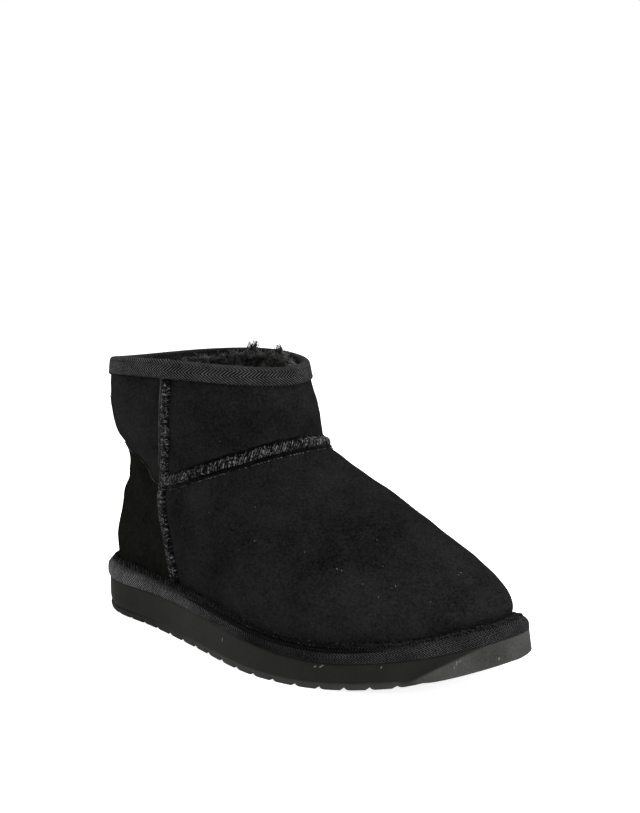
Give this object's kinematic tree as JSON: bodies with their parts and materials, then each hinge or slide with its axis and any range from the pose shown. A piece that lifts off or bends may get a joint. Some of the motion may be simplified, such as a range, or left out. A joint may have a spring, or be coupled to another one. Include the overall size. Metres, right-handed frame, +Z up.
{
  "type": "sheepskin ankle boot",
  "caption": "Low right ankle boot of black suede sheepskin with a wool lining, a taped collar, raised seams and a wrapped foam wedge sole.",
  "frame": {"origin": "middle of the footprint, on the plane that the tread stands on", "axes": "+X from the heel to the toe, +Z up, +Y towards the big toe's side"},
  "size_m": [0.268, 0.1048, 0.1472],
  "materials": {
    "tread_rubber": "dark grey moulded tread",
    "foam": "smooth dark grey foam",
    "woven_tape": "black herringbone tape",
    "fleece": "black wool fleece",
    "suede": "black brushed suede",
    "seam_thread": "black braided stitching"
  },
  "bodies": {
    "root": {"outsole": "tread_rubber", "midsole": "foam", "sole_binding": "woven_tape", "insole": "fleece", "upper": "suede", "heel_counter": "suede", "outer_side_seam": "seam_thread", "inner_side_seam": "seam_thread", "instep_seam": "seam_thread", "collar_binding": "woven_tape"}
  },
  "joints": []
}
